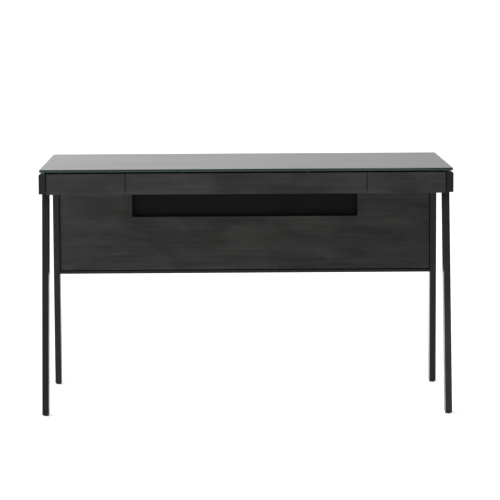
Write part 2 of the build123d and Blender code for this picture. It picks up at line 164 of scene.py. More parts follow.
class DeskStudio(bpy.types.PropertyGroup):
    """The camera, the floor and the soft light."""

    lens: FloatProperty(
        name="Lens",
        description="Focal length on a 36 mm wide sensor, in millimetres",
        default=170.25,
        min=1.0,
    )
    floor: colour_property("Floor", "Plain pale studio floor", "f6f6f6")
    surround: FloatProperty(
        name="Surround",
        description="Brightness of the white surroundings",
        default=0.735,
        min=0.0,
    )
    floor_glow: FloatProperty(
        name="Floor glow",
        description="Brightness of the light under the acrylic floor",
        default=0.56,
        min=0.0,
    )
    key_power: FloatProperty(
        name="Key light",
        description="Power of the large soft light on the left, in watts",
        default=95.0,
        min=0.0,
        unit="POWER",
    )
    card_power: FloatProperty(
        name="Leg card",
        description="Power of the small soft light that draws a highlight on the right leg",
        default=10.0,
        min=0.0,
        unit="POWER",
    )


# ------------------------------------------------------------------- helpers


def add_node(tree, kind, settings=None, inputs=None):
    """Add a node, apply its settings, and fill or link its inputs by name or index."""
    node = tree.nodes.new(kind)
    for name, value in (settings or {}).items():
        setattr(node, name, value)
    for key, value in (inputs or {}).items():
        if isinstance(value, bpy.types.NodeSocket):
            tree.links.new(value, node.inputs[key])
        else:
            node.inputs[key].default_value = value
    return node


def new_material(name):
    """An empty node material with its output node; returns the material, tree and output."""
    material = bpy.data.materials.new(name)
    material.use_nodes = True
    tree = material.node_tree
    tree.nodes.clear()
    return material, tree, add_node(tree, "ShaderNodeOutputMaterial")


def rgba(colour):
    """A colour property's value with full alpha."""
    return (*colour, 1.0)


def dress(material, *names):
    """Give CAD nodes one material, leaving their meshes as they are."""
    for name in names:
        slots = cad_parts[name].data.materials
        slots.clear()
        slots.append(material)


def keep_piece(piece, body, slot, *replaced):
    """Let a finished piece ride on its body, and hide the CAD nodes that it stands for."""
    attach(piece, body)
    if replaced:
        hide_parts(*replaced)
    return piece


def new_object(name, mesh, *materials):
    """Link a mesh into the scene as an object at the origin."""
    piece = bpy.data.objects.new(name, mesh)
    bpy.context.scene.collection.objects.link(piece)
    for material in materials:
        mesh.materials.append(material)
    return piece


def solid_boxes(node):
    """The lowest and highest corner of each separate solid of a CAD node."""
    shape = bmesh.new()
    shape.from_mesh(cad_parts[node].data)
    bmesh.ops.remove_doubles(shape, verts=shape.verts, dist=1e-6)
    unseen = set(shape.verts)
    boxes = []
    while unseen:
        queue = [unseen.pop()]
        places = []
        while queue:
            vertex = queue.pop()
            places.append(vertex.co.copy())
            for edge in vertex.link_edges:
                other = edge.other_vert(vertex)
                if other in unseen:
                    unseen.discard(other)
                    queue.append(other)
        low = Vector([min(p[i] for p in places) for i in range(3)])
        high = Vector([max(p[i] for p in places) for i in range(3)])
        boxes.append((low, high))
    shape.free()
    return sorted(boxes, key=lambda pair: tuple(round(c, 4) for c in pair[0]))


def turned(rings, segments, smooth_angle=35.0):
    """A closed form from rings of (height, radius), radius being a length or a rule of the angle."""
    shape = bmesh.new()
    loops = []
    for height, radius in rings:
        loop = []
        for i in range(segments):
            angle = 2 * math.pi * i / segments
            reach = radius(angle) if callable(radius) else radius
            loop.append(shape.verts.new((reach * math.cos(angle), reach * math.sin(angle), height)))
        loops.append(loop)
    for low, high in zip(loops, loops[1:]):
        for i in range(segments):
            j = (i + 1) % segments
            shape.faces.new((low[i], low[j], high[j], high[i]))
    for loop, turn in ((loops[0], -1), (loops[-1], 1)):
        middle = sum((v.co for v in loop), Vector()) / segments
        centre = shape.verts.new(middle)
        for i in range(segments):
            j = (i + 1) % segments
            corners = (loop[i], loop[j], centre) if turn > 0 else (loop[j], loop[i], centre)
            shape.faces.new(corners)
    return finish_shape(shape, smooth_angle)


def finish_shape(shape, smooth_angle):
    """Turn a bmesh into a mesh with outward faces and crisp edges above the smooth angle."""
    bmesh.ops.recalc_face_normals(shape, faces=shape.faces)
    for face in shape.faces:
        face.smooth = True
    for edge in shape.edges:
        if edge.is_manifold and edge.calc_face_angle() > math.radians(smooth_angle):
            edge.smooth = False
    mesh = bpy.data.meshes.new("shape")
    shape.to_mesh(mesh)
    shape.free()
    return mesh


# ----------------------------------------------------------------- materials


def stained_ash(name, grain, painted_shade_inside=False):
    """Ash veneer with a charcoal stain, sanded and sealed with a satin lacquer.

    Ash is ring-porous: the open pores drink the stain and stay nearly black, while the dense
    late wood between them reads as paler streaks. The lacquer leaves a soft, broad sheen. A
    board with painted shade inside has its face towards -Y painted near-black with little gloss:
    partly black-dyed fibre, and partly painted shade standing in for the shade in the cable space.
    """
    finishes = bpy.context.scene.desk_finishes
    material, tree, output = new_material(name)
    place = add_node(tree, "ShaderNodeTexCoord").outputs["Object"]

    def along_grain(length_mm, width_mm):
        """Object coordinates scaled so that a pattern is long along the grain and narrow across it."""
        scale = [1 / (width_mm * MM)] * 3
        scale[grain] = 1 / (length_mm * MM)
        return add_node(
            tree, "ShaderNodeMapping", inputs={"Vector": place, "Scale": scale}
        ).outputs["Vector"]

    # Figure of the sliced veneer: soft clouds a hand's breadth long, where the light catches it
    clouds = add_node(
        tree,
        "ShaderNodeTexNoise",
        inputs={"Vector": along_grain(150, 48), "Scale": 1.0, "Detail": 2.0, "Distortion": 0.4},
    )
    # Growth-ring streaks, drawn 9 mm apart so that they still show at a few metres
    streaks = add_node(
        tree,
        "ShaderNodeTexNoise",
        inputs={"Vector": along_grain(240, 9), "Scale": 1.0, "Detail": 3.0, "Roughness": 0.5},
    )
    # The pores themselves, just under half a millimetre wide and a centimetre or two long
    pores = add_node(
        tree,
        "ShaderNodeTexNoise",
        inputs={"Vector": along_grain(14, 0.45), "Scale": 1.0, "Detail": 2.0},
    )
    cloud_tone = add_node(
        tree,
        "ShaderNodeMapRange",
        inputs={0: clouds.outputs["Fac"], 1: 0.33, 2: 0.67, 3: 0.0, 4: 0.6},
    )
    streak_tone = add_node(
        tree,
        "ShaderNodeMapRange",
        inputs={0: streaks.outputs["Fac"], 1: 0.30, 2: 0.70, 3: 0.0, 4: 0.4},
    )
    pore_depth = add_node(
        tree,
        "ShaderNodeMapRange",
        inputs={0: pores.outputs["Fac"], 1: 0.30, 2: 0.46, 3: 0.0, 4: 1.0},
    )
    late_wood = add_node(
        tree,
        "ShaderNodeMath",
        {"operation": "ADD"},
        {0: cloud_tone.outputs[0], 1: streak_tone.outputs[0]},
    )
    pale = add_node(
        tree,
        "ShaderNodeMix",
        {"data_type": "RGBA"},
        {0: late_wood.outputs[0], 6: rgba(finishes.ash), 7: rgba(finishes.ash_ray)},
    )
    stained = add_node(
        tree,
        "ShaderNodeMix",
        {"data_type": "RGBA"},
        {0: pore_depth.outputs[0], 6: rgba(finishes.ash_pore), 7: pale.outputs[2]},
    )
    colour = stained
    # Painted shade: the face towards -Y, seen through the panel's slot, takes a near-black colour that
    # stands in for the shade inside the cable space as well as for dyed fibre
    if painted_shade_inside:
        facing = add_node(tree, "ShaderNodeNewGeometry").outputs["True Normal"]
        towards = add_node(tree, "ShaderNodeSeparateXYZ", inputs={0: facing}).outputs["Y"]
        inside = add_node(
            tree, "ShaderNodeMath", {"operation": "LESS_THAN"}, {0: towards, 1: -0.5}
        )
        colour = add_node(
            tree,
            "ShaderNodeMix",
            {"data_type": "RGBA"},
            {0: inside.outputs[0], 6: stained.outputs[2], 7: rgba(finishes.painted_shade_fibre)},
        )
    sheen = add_node(
        tree,
        "ShaderNodeMapRange",
        inputs={0: late_wood.outputs[0], 1: 0.0, 2: 1.0, 3: 0.54, 4: 0.44},
    )
    relief = add_node(
        tree,
        "ShaderNodeMath",
        {"operation": "MULTIPLY_ADD"},
        {0: streaks.outputs["Fac"], 1: 0.35, 2: pore_depth.outputs[0]},
    )
    bump = add_node(
        tree,
        "ShaderNodeBump",
        inputs={"Height": relief.outputs[0], "Strength": 0.35, "Distance": 0.12 * MM},
    )
    shader = add_node(
        tree,
        "ShaderNodeBsdfPrincipled",
        inputs={
            "Base Color": colour.outputs[2],
            "Roughness": sheen.outputs[0],
            "IOR": 1.5,
            # A board with painted shade inside gets less gloss all over, which also darkens its painted
            # shaded face
            "Specular IOR Level": 0.10 if painted_shade_inside else 0.15,
            "Normal": bump.outputs["Normal"],
        },
    )
    tree.links.new(shader.outputs[0], output.inputs["Surface"])
    return material


def birch_plywood(name, grain, thickness):
    """Birch plywood, clear-lacquered.

    The face veneer is pale and close-grained with faint flecks; the cut edges show thin plies,
    light and dark in turn, about 1.4 mm each.
    """
    finishes = bpy.context.scene.desk_finishes
    material, tree, output = new_material(name)
    place = add_node(tree, "ShaderNodeTexCoord").outputs["Object"]
    scale = [1 / (9 * MM)] * 3
    scale[grain] = 1 / (260 * MM)
    figure_place = add_node(tree, "ShaderNodeMapping", inputs={"Vector": place, "Scale": scale})
    figure = add_node(
        tree,
        "ShaderNodeTexNoise",
        inputs={"Vector": figure_place.outputs[0], "Scale": 1.0, "Detail": 5.0, "Roughness": 0.6},
    )
    face_tone = add_node(
        tree,
        "ShaderNodeMapRange",
        inputs={0: figure.outputs["Fac"], 1: 0.35, 2: 0.75, 3: 0.0, 4: 0.45},
    )
    # Plies: one light and one dark every 2.8 mm through the board's thickness
    across = add_node(tree, "ShaderNodeSeparateXYZ", inputs={0: place}).outputs[thickness]
    ply_wave = add_node(
        tree,
        "ShaderNodeMath",
        {"operation": "MULTIPLY"},
        {0: across, 1: 2 * math.pi / (2.8 * MM)},
    )
    ply = add_node(tree, "ShaderNodeMath", {"operation": "SINE"}, {0: ply_wave.outputs[0]})
    ply_tone = add_node(
        tree,
        "ShaderNodeMapRange",
        inputs={0: ply.outputs[0], 1: -0.5, 2: 0.5, 3: 0.15, 4: 0.85},
    )
    facing = add_node(tree, "ShaderNodeNewGeometry").outputs["True Normal"]
    turn = add_node(tree, "ShaderNodeSeparateXYZ", inputs={0: facing}).outputs[thickness]
    flatness = add_node(tree, "ShaderNodeMath", {"operation": "ABSOLUTE"}, {0: turn})
    on_edge = add_node(
        tree, "ShaderNodeMath", {"operation": "LESS_THAN"}, {0: flatness.outputs[0], 1: 0.5}
    )
    tone = add_node(
        tree,
        "ShaderNodeMix",
        {"data_type": "FLOAT"},
        {0: on_edge.outputs[0], 2: face_tone.outputs[0], 3: ply_tone.outputs[0]},
    )
    colour = add_node(
        tree,
        "ShaderNodeMix",
        {"data_type": "RGBA"},
        {0: tone.outputs[0], 6: rgba(finishes.birch), 7: rgba(finishes.birch_dark)},
    )
    bump = add_node(
        tree,
        "ShaderNodeBump",
        inputs={"Height": figure.outputs["Fac"], "Strength": 0.2, "Distance": 0.1 * MM},
    )
    sheen = add_node(
        tree,
        "ShaderNodeMapRange",
        inputs={0: figure.outputs["Fac"], 1: 0.3, 2: 0.7, 3: 0.36, 4: 0.48},
    )
    shader = add_node(
        tree,
        "ShaderNodeBsdfPrincipled",
        inputs={
            "Base Color": colour.outputs[2],
            "Roughness": sheen.outputs[0],
            "IOR": 1.5,
            "Normal": bump.outputs["Normal"],
        },
    )
    tree.links.new(shader.outputs[0], output.inputs["Surface"])
    return material


def mottled_coat(name, colour, texture):
    """A painted, moulded or plated skin with a fine even texture.

    texture holds the grain size in mm, how far the tone and roughness wander, the relief in mm,
    and the shader's own constants. Powder coat has a fine orange peel, moulded nylon a spark
    grain, zinc plate a faint spangle, and black oxide a dull, slightly uneven skin.
    """
    material, tree, output = new_material(name)
    place = add_node(tree, "ShaderNodeTexCoord").outputs["Object"]
    grain = add_node(
        tree,
        "ShaderNodeTexNoise",
        inputs={"Vector": place, "Scale": 1 / (texture["grain_mm"] * MM), "Detail": 2.0},
    )
    # Slow drift of tone over a couple of decimetres, from the coating's thickness
    drift = add_node(
        tree, "ShaderNodeTexNoise", inputs={"Vector": place, "Scale": 1 / (180 * MM), "Detail": 3.0}
    )
    blend = add_node(
        tree,
        "ShaderNodeMath",
        {"operation": "MULTIPLY_ADD"},
        {0: grain.outputs["Fac"], 1: 0.4, 2: drift.outputs["Fac"]},
    )
    tone = add_node(
        tree,
        "ShaderNodeMapRange",
        inputs={0: blend.outputs[0], 1: 0.45, 2: 0.95, 3: 0.0, 4: 1.0},
    )
    low, high = 1 - texture["tone"], 1 + texture["tone"]
    colour_mix = add_node(
        tree,
        "ShaderNodeMix",
        {"data_type": "RGBA"},
        {
            0: tone.outputs[0],
            6: rgba([min(1.0, c * low) for c in colour]),
            7: rgba([min(1.0, c * high) for c in colour]),
        },
    )
    sheen = add_node(
        tree,
        "ShaderNodeMapRange",
        inputs={
            0: tone.outputs[0],
            1: 0.0,
            2: 1.0,
            3: texture["roughness"][0],
            4: texture["roughness"][1],
        },
    )
    bump = add_node(
        tree,
        "ShaderNodeBump",
        inputs={
            "Height": grain.outputs["Fac"],
            "Strength": 0.4,
            "Distance": texture["relief_mm"] * MM,
        },
    )
    shader = add_node(
        tree,
        "ShaderNodeBsdfPrincipled",
        inputs={
            "Base Color": colour_mix.outputs[2],
            "Roughness": sheen.outputs[0],
            "Normal": bump.outputs["Normal"],
            **texture["shader"],
        },
    )
    tree.links.new(shader.outputs[0], output.inputs["Surface"])
    return material


COATS = {
    # Satin black powder coat on steel tube: fine orange peel, soft broad highlights
    "satin_powder_coat": (
        "powder",
        {
            "grain_mm": 1.6,
            "tone": 0.10,
            "roughness": (0.20, 0.28),
            "relief_mm": 0.03,
            "shader": {"IOR": 1.5, "Specular IOR Level": 0.2},
        },
    ),
    # Injection-moulded nylon with a spark-eroded grain: matt, even
    "moulded_nylon": (
        "nylon",
        {
            "grain_mm": 0.5,
            "tone": 0.12,
            "roughness": (0.48, 0.60),
            "relief_mm": 0.02,
            "shader": {"IOR": 1.53, "Specular IOR Level": 0.13},
        },
    ),
    # Bright zinc plate on rolled steel: a cool metal with a faint cloudy spangle
    "zinc_plated_steel": (
        "zinc",
        {
            "grain_mm": 3.0,
            "tone": 0.08,
            "roughness": (0.24, 0.38),
            "relief_mm": 0.01,
            "shader": {"Metallic": 1.0},
        },
    ),
    # Oiled black oxide on steel bolts: dark metal with a dull bloom
    "black_oxide_steel": (
        "oxide",
        {
            "grain_mm": 0.8,
            "tone": 0.15,
            "roughness": (0.32, 0.46),
            "relief_mm": 0.01,
            "shader": {"Metallic": 1.0},
        },
    ),
    # Cast polyurethane bumpers: clear, slightly frosted where they meet the glass
    "clear_polyurethane": (
        "bumper",
        {
            "grain_mm": 1.0,
            "tone": 0.04,
            "roughness": (0.12, 0.22),
            "relief_mm": 0.02,
            "shader": {"IOR": 1.49, "Transmission Weight": 0.6},
        },
    ),
}


def coat(name):
    """One of the coats by name, made once and shared."""
    found = bpy.data.materials.get(name)
    if found:
        return found
    colour_name, texture = COATS[name]
    return mottled_coat(name, getattr(bpy.context.scene.desk_finishes, colour_name), texture)


def etched_glass(name, colour, roughness, specks, specular):
    """Toughened soda-lime glass, acid-etched on top and dark on its painted underside.

    From above it takes a soft, milky reflection of the room, stronger the flatter the view; the
    etch leaves a very fine, even tooth with a slight cloudiness.
    """
    material, tree, output = new_material(name)
    place = add_node(tree, "ShaderNodeTexCoord").outputs["Object"]
    # The etch's tooth, well under a millimetre in life, drawn at 1.2 mm
    tooth = add_node(
        tree, "ShaderNodeTexNoise", inputs={"Vector": place, "Scale": 1 / (1.2 * MM), "Detail": 2.0}
    )
    cloud = add_node(
        tree, "ShaderNodeTexNoise", inputs={"Vector": place, "Scale": 1 / (240 * MM), "Detail": 3.0}
    )
    colour_mix = add_node(
        tree,
        "ShaderNodeMix",
        {"data_type": "RGBA"},
        {
            0: cloud.outputs["Fac"],
            6: rgba([c * 0.9 for c in colour]),
            7: rgba([min(1.0, c * 1.1) for c in colour]),
        },
    )
    sheen = add_node(
        tree,
        "ShaderNodeMapRange",
        inputs={0: cloud.outputs["Fac"], 1: 0.3, 2: 0.7, 3: roughness - 0.01, 4: roughness + 0.01},
    )
    bump = add_node(
        tree,
        "ShaderNodeBump",
        inputs={"Height": tooth.outputs["Fac"], "Strength": specks, "Distance": 0.02 * MM},
    )
    shader = add_node(
        tree,
        "ShaderNodeBsdfPrincipled",
        inputs={
            "Base Color": colour_mix.outputs[2],
            "Roughness": sheen.outputs[0],
            "IOR": 1.52,
            "Specular IOR Level": specular,
            "Normal": bump.outputs["Normal"],
        },
    )
    tree.links.new(shader.outputs[0], output.inputs["Surface"])
    return material


# --------------------------------------------------------- repeated fasteners


def fastener_tree(name):
    """Geometry nodes that set a fastener on every point, facing the point's own direction."""
    tree = bpy.data.node_groups.new(name, "GeometryNodeTree")
    face = tree.interface
    face.new_socket("Places", in_out="INPUT", socket_type="NodeSocketGeometry")
    face.new_socket("Fastener", in_out="INPUT", socket_type="NodeSocketObject")
    face.new_socket("Turn seed", in_out="INPUT", socket_type="NodeSocketInt")
    face.new_socket("Finish", in_out="INPUT", socket_type="NodeSocketMaterial")
    face.new_socket("Fasteners", in_out="OUTPUT", socket_type="NodeSocketGeometry")
    source = add_node(tree, "NodeGroupInput")
    pattern = add_node(tree, "GeometryNodeObjectInfo", inputs={0: source.outputs["Fastener"]})
    facing = add_node(
        tree,
        "GeometryNodeInputNamedAttribute",
        {"data_type": "FLOAT_VECTOR"},
        {"Name": "facing"},
    )
    aim = add_node(
        tree,
        "FunctionNodeAlignRotationToVector",
        {"axis": "Z"},
        {"Vector": facing.outputs[0]},
    )
    # Each fastener stops at its own angle, as hand-driven ones do
    spin = add_node(
        tree,
        "FunctionNodeRandomValue",
        {"data_type": "FLOAT"},
        {2: 0.0, 3: 2 * math.pi, "Seed": source.outputs["Turn seed"]},
    )
    spin_turn = add_node(
        tree, "FunctionNodeAxisAngleToRotation", inputs={0: (0.0, 0.0, 1.0), 1: spin.outputs[1]}
    )
    turned_aim = add_node(
        tree,
        "FunctionNodeRotateRotation",
        {"rotation_space": "LOCAL"},
        {0: aim.outputs[0], 1: spin_turn.outputs[0]},
    )
    placed = add_node(
        tree,
        "GeometryNodeInstanceOnPoints",
        inputs={
            "Points": source.outputs["Places"],
            "Instance": pattern.outputs["Geometry"],
            "Rotation": turned_aim.outputs[0],
        },
    )
    real = add_node(tree, "GeometryNodeRealizeInstances", inputs={0: placed.outputs[0]})
    dressed = add_node(
        tree,
        "GeometryNodeSetMaterial",
        inputs={0: real.outputs[0], "Material": source.outputs["Finish"]},
    )
    add_node(tree, "NodeGroupOutput", inputs={0: dressed.outputs[0]})
    return tree


def set_fasteners(name, pattern_mesh, places, material, seed):
    """One mesh of like fasteners; places are (point, outward direction) pairs."""
    tree = bpy.data.node_groups.get("set_fasteners") or fastener_tree("set_fasteners")
    pattern = new_object(f"{name}_pattern", pattern_mesh)
    points = bpy.data.meshes.new(f"{name}_places")
    points.from_pydata([point for point, _ in places], [], [])
    directions = points.attributes.new("facing", "FLOAT_VECTOR", "POINT")
    directions.data.foreach_set("vector", [c for _, way in places for c in way])
    holder = new_object(f"{name}_holder", points)
    modifier = holder.modifiers.new("Fasteners", "NODES")
    modifier.node_group = tree
    values = {"Fastener": pattern, "Turn seed": seed, "Finish": material}
    for socket in tree.interface.items_tree:
        if socket.in_out == "INPUT" and socket.name in values:
            modifier[socket.identifier] = values[socket.name]
    bpy.context.view_layer.update()
    graph = bpy.context.evaluated_depsgraph_get()
    mesh = bpy.data.meshes.new_from_object(holder.evaluated_get(graph), depsgraph=graph)
    holder.modifiers.clear()
    bpy.data.objects.remove(holder)
    bpy.data.objects.remove(pattern)
    mesh.name = name
    return new_object(name, mesh)


def hexagon(flats):
    """The radius of a hexagon at an angle, from its size across the flats."""
    return lambda angle: flats / 2 / math.cos((angle + math.pi / 6) % (math.pi / 3) - math.pi / 6)


def cross(arm, waist, half_angle):
    """The radius of a cross recess at an angle: long in its arms and short between them."""
    quarter = math.pi / 2
    return lambda angle: arm if abs((angle + quarter / 2) % quarter - quarter / 2) < half_angle else waist


def button_bolt(head_radius, head_height, shank_radius, shank_length):
    """A button-head bolt with a hex socket; its seat is at height 0 and it points up."""
    hardware = bpy.context.scene.desk_hardware
    socket = hexagon(hardware.socket_flats)
    dome = []
    for step in range(6):
        angle = math.radians(15 * step + 4)
        dome.append((head_height * math.sin(angle), head_radius * math.cos(angle) ** 0.6))
    rings = [
        (-shank_length, shank_radius * 0.8),
        (-shank_length + shank_radius * 0.4, shank_radius),
        (0.0, shank_radius),
        (0.0, head_radius * 0.985),
        (head_height * 0.06, head_radius),
        *[ring for ring in dome if ring[1] > hardware.socket_flats * 0.66],
        (head_height, hardware.socket_flats * 0.64),
        (head_height, socket),
        (head_height - hardware.socket_depth, socket),
    ]
    return turned(rings, BOLT_SEGMENTS)


def countersunk_screw(head_radius, shank_radius, length):
    """A countersunk screw with a cross recess; its head is flush with height 0 and points up."""
    slope = head_radius - shank_radius
    recess = cross(head_radius * 0.62, head_radius * 0.2, RECESS_HALF_ANGLE)
    floor = cross(head_radius * 0.34, head_radius * 0.14, RECESS_HALF_ANGLE)
    rings = [
        (-length, shank_radius * 0.1),
        (-length + shank_radius * 2, shank_radius),
        (-slope, shank_radius),
        (-0.1 * slope, head_radius),
        (0.0, head_radius * 0.97),
        (0.0, head_radius * 0.7),
        (0.0, recess),
        (-0.9 * slope, floor),
    ]
    return turned(rings, SCREW_SEGMENTS)


def pan_screw(head_radius):
    """A low pan-head screw with a cross recess, its seat at height 0."""
    recess = cross(head_radius * 0.6, head_radius * 0.2, RECESS_HALF_ANGLE)
    floor = cross(head_radius * 0.3, head_radius * 0.12, RECESS_HALF_ANGLE)
    rings = [
        (-0.2 * MM, head_radius * 0.5),
        (0.0, head_radius),
        (0.6 * MM, head_radius * 0.98),
        (1.1 * MM, head_radius * 0.84),
        (1.3 * MM, head_radius * 0.66),
        (1.3 * MM, recess),
        (0.3 * MM, floor),
    ]
    return turned(rings, SCREW_SEGMENTS)


# ----------------------------------------------------------------- operators


class DESK_OT_glass_top(bpy.types.Operator):
    """Make the glass top with its ground arris, etched face and painted underside"""

    bl_idname = "desk.glass_top"
    bl_label = "Glass top"

    def execute(self, context):
        finishes = context.scene.desk_finishes
        hardware = context.scene.desk_hardware
        low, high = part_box("glass_top")
        shape = bmesh.new()
        # Outline rings from the underside up: (height, inset from the edge)
        levels = [
            (low.z, hardware.arris * 3),
            (low.z, hardware.arris),
            (low.z + hardware.arris * 0.3, hardware.arris * 0.3),
            (low.z + hardware.arris, 0.0),
            (high.z - hardware.arris, 0.0),
            (high.z - hardware.arris * 0.3, hardware.arris * 0.3),
            (high.z, hardware.arris),
            (high.z, hardware.arris * 3),
        ]
        steps = 8
        loops = []
        for height, inset in levels:
            radius = max(hardware.corner - inset, hardware.corner * 0.2)
            loop = []
            corners = ((high.x, high.y, 0), (low.x, high.y, 1), (low.x, low.y, 2), (high.x, low.y, 3))
            for corner_x, corner_y, quarter in corners:
                middle_x = corner_x - math.copysign(inset + radius, corner_x)
                middle_y = corner_y - math.copysign(inset + radius, corner_y)
                for step in range(steps + 1):
                    angle = (quarter + step / steps) * math.pi / 2
                    loop.append(
                        shape.verts.new(
                            (
                                middle_x + radius * math.cos(angle),
                                middle_y + radius * math.sin(angle),
                                height,
                            )
                        )
                    )
            loops.append(loop)
        for level, (lower, upper) in enumerate(zip(loops, loops[1:])):
            for i in range(len(lower)):
                j = (i + 1) % len(lower)
                side = shape.faces.new((lower[i], lower[j], upper[j], upper[i]))
                side.material_index = 1 if 0 < level < len(loops) - 2 else 2 if level == 0 else 0
        shape.faces.new(loops[-1]).material_index = 0
        shape.faces.new(reversed(loops[0])).material_index = 2
        mesh = finish_shape(shape, 50)
        top = etched_glass("acid_etched_glass", finishes.glass, 0.22, 0.12, 0.5)
        edge = etched_glass("polished_glass_edge", finishes.glass_edge, 0.10, 0.05, 0.3)
        paint = etched_glass("back_painted_glass", finishes.glass, 0.30, 0.10, 0.5)
        piece = new_object("glass_sheet", mesh, top, edge, paint)
        keep_piece(piece, "desk_frame", "tinted_glass", "glass_top")
        dress(coat("clear_polyurethane"), "glass_bumpers")
        return {"FINISHED"}


class DESK_OT_steel_frame(bpy.types.Operator):
    """Coat the steel side frames and stretcher, and give their caps and inserts moulded nylon"""

    bl_idname = "desk.steel_frame"
    bl_label = "Steel frame"

    def execute(self, context):
        hands = ("left", "right")
        rails = [f"side_rail_{hand}" for hand in hands]
        legs = [f"{row}_leg_{hand}" for row in ("front", "rear") for hand in hands]
        dress(coat("satin_powder_coat"), *rails, *legs, "rear_stretcher")
        dress(coat("moulded_nylon"), "rail_end_caps", "leg_inserts")
        return {"FINISHED"}


class DESK_OT_levelling_feet(bpy.types.Operator):
    """Make the levelling feet: a ribbed swivel pad and a threaded stud with its collar"""

    bl_idname = "desk.levelling_feet"
    bl_label = "Levelling feet"

    def execute(self, context):
        for foot in FEET:
            self.make_pad(context, foot)
            self.make_stud(context, foot)
        return {"FINISHED"}

    def make_pad(self, context, foot):
        """A moulded pad with a rounded rim, grip ribs and a socket for the stud."""
        hardware = context.scene.desk_hardware
        low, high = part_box(f"foot_pad_{foot}")
        radius = (high.x - low.x) / 2
        height = high.z - low.z
        collar = PAD_SOCKET_RADIUS
        ribs = hardware.pad_ribs

        def ribbed(reach):
            return lambda angle: reach - PAD_RIB_DEPTH * (0.5 + 0.5 * math.cos(ribs * angle)) ** 3

        rings = [
            (0.0, radius - 3.4 * MM),
            (0.0, radius - 1.5 * MM),
            (0.25 * MM, radius - 0.75 * MM),
            (0.75 * MM, radius - 0.2 * MM),
            (1.4 * MM, ribbed(radius)),
            (height - 0.7 * MM, ribbed(radius)),
            (height - 0.2 * MM, radius - 0.4 * MM),
            (height, radius - 0.9 * MM),
            (height, collar + 0.5 * MM),
            (height - 0.2 * MM, collar),
            (height - PAD_SOCKET_DEPTH, collar),
        ]
        mesh = turned(rings, ribs * 8)
        mesh.transform(Matrix.Translation(((low.x + high.x) / 2, (low.y + high.y) / 2, low.z)))
        piece = new_object(f"swivel_pad_{foot}", mesh, coat("moulded_nylon"))
        keep_piece(piece, f"foot_{foot}", "black_nylon", f"foot_pad_{foot}")

    def make_stud(self, context, foot):
        """A stud with a real M8 thread, and a hexagon collar to turn it by."""
        hardware = context.scene.desk_hardware
        low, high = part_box(f"foot_stud_{foot}")
        flats = high.y - low.y
        radius = STUD_RADIUS
        pitch = hardware.thread_pitch
        depth = hardware.thread_depth
        collar_low = COLLAR_UNDERSIDE - low.z
        collar_high = collar_low + COLLAR_HEIGHT
        length = high.z - low.z

        def thread(height, fade):
            def reach(angle):
                turn = (height / pitch - angle / (2 * math.pi)) % 1.0
                return radius - fade * depth * abs(2 * turn - 1)

            return reach

        collar = hexagon(flats)
        rings = [
            (0.0, radius * 0.82),
            (0.35 * MM, radius * 0.95),
            (collar_low, radius * 0.95),
            (collar_low, lambda a: collar(a) * 0.95),
            (collar_low + 0.25 * MM, collar),
            (collar_high - 0.25 * MM, collar),
            (collar_high, lambda a: collar(a) * 0.95),
            (collar_high, radius * 0.9),
        ]
        start = collar_high + 0.3 * MM
        rows = int((length - start - 0.6 * MM) / (pitch / THREAD_STEPS))
        for row in range(rows + 1):
            height = start + row * pitch / THREAD_STEPS
            fade = min(1.0, row / THREAD_STEPS, (rows - row) / THREAD_STEPS + 0.2)
            rings.append((height, thread(height, fade)))
        rings.append((length, radius * 0.8))
        mesh = turned(rings, 24, 60)
        mesh.transform(Matrix.Translation(((low.x + high.x) / 2, (low.y + high.y) / 2, low.z)))
        piece = new_object(f"threaded_stud_{foot}", mesh, coat("zinc_plated_steel"))
        keep_piece(piece, f"stud_{foot}", "zinc_steel", f"foot_stud_{foot}")


class DESK_OT_case(bpy.types.Operator):
    """Veneer the case: its top, ends and dividers"""

    bl_idname = "desk.case"
    bl_label = "Case"

    def execute(self, context):
        dress(stained_ash("stained_ash_top", 0), "case_top")
        uprights = [f"{part}_{hand}" for part in ("case_side", "divider") for hand in ("left", "right")]
        dress(stained_ash("stained_ash_uprights", 1), *uprights)
        return {"FINISHED"}


class DESK_OT_modesty_panel(bpy.types.Operator):
    """Veneer the slotted modesty panel and the cable space behind it"""

    bl_idname = "desk.modesty_panel"
    bl_label = "Modesty panel"

    def execute(self, context):
        ash = stained_ash("stained_ash_panels", 0)
        dress(ash, "modesty_panel", "compartment_floor")
        # The cover's face towards the slot is painted near-black, as painted shade for the cable space
        # behind the panel
        dress(stained_ash("stained_ash_cover", 0, painted_shade_inside=True), "rear_cover")
        dress(stained_ash("stained_ash_posts", 2), "compartment_sides")
        return {"FINISHED"}


class DESK_OT_fasteners(bpy.types.Operator):
    """Set the socket bolts of the case and panel, and the rear cover's screws"""

    bl_idname = "desk.fasteners"
    bl_label = "Bolts and cover screws"

    def execute(self, context):
        for node, seed in (("case_bolts", 3), ("panel_bolts", 5)):
            boxes = solid_boxes(node)
            low, high = boxes[0]
            head_radius = (high.z - low.z) / 2
            places = []
            for low, high in boxes:
                side = math.copysign(1.0, low.x)
                seat = side * (min(abs(low.x), abs(high.x)) + BOLT_HEAD_HEIGHT)
                middle = (seat, (low.y + high.y) / 2, (low.z + high.z) / 2)
                places.append((middle, (-side, 0.0, 0.0)))
            length = high.x - low.x - BOLT_HEAD_HEIGHT
            bolt = button_bolt(head_radius, BOLT_HEAD_HEIGHT, BOLT_SHANK_RADIUS, length)
            name = f"button_head_{node}"
            piece = set_fasteners(name, bolt, places, coat("black_oxide_steel"), seed)
            keep_piece(piece, "desk_frame", "black_oxide_steel", node)
        boxes = solid_boxes("cover_screws")
        places = []
        for low, high in boxes:
            places.append((((low.x + high.x) / 2, high.y, (low.z + high.z) / 2), (0.0, 1.0, 0.0)))
        low, high = boxes[0]
        screw = countersunk_screw((high.x - low.x) / 2, COVER_SCREW_SHANK_RADIUS, high.y - low.y)
        material = coat("black_oxide_steel")
        piece = set_fasteners("countersunk_cover_screws", screw, places, material, 11)
        keep_piece(piece, "desk_frame", "black_oxide_steel", "cover_screws")
        return {"FINISHED"}


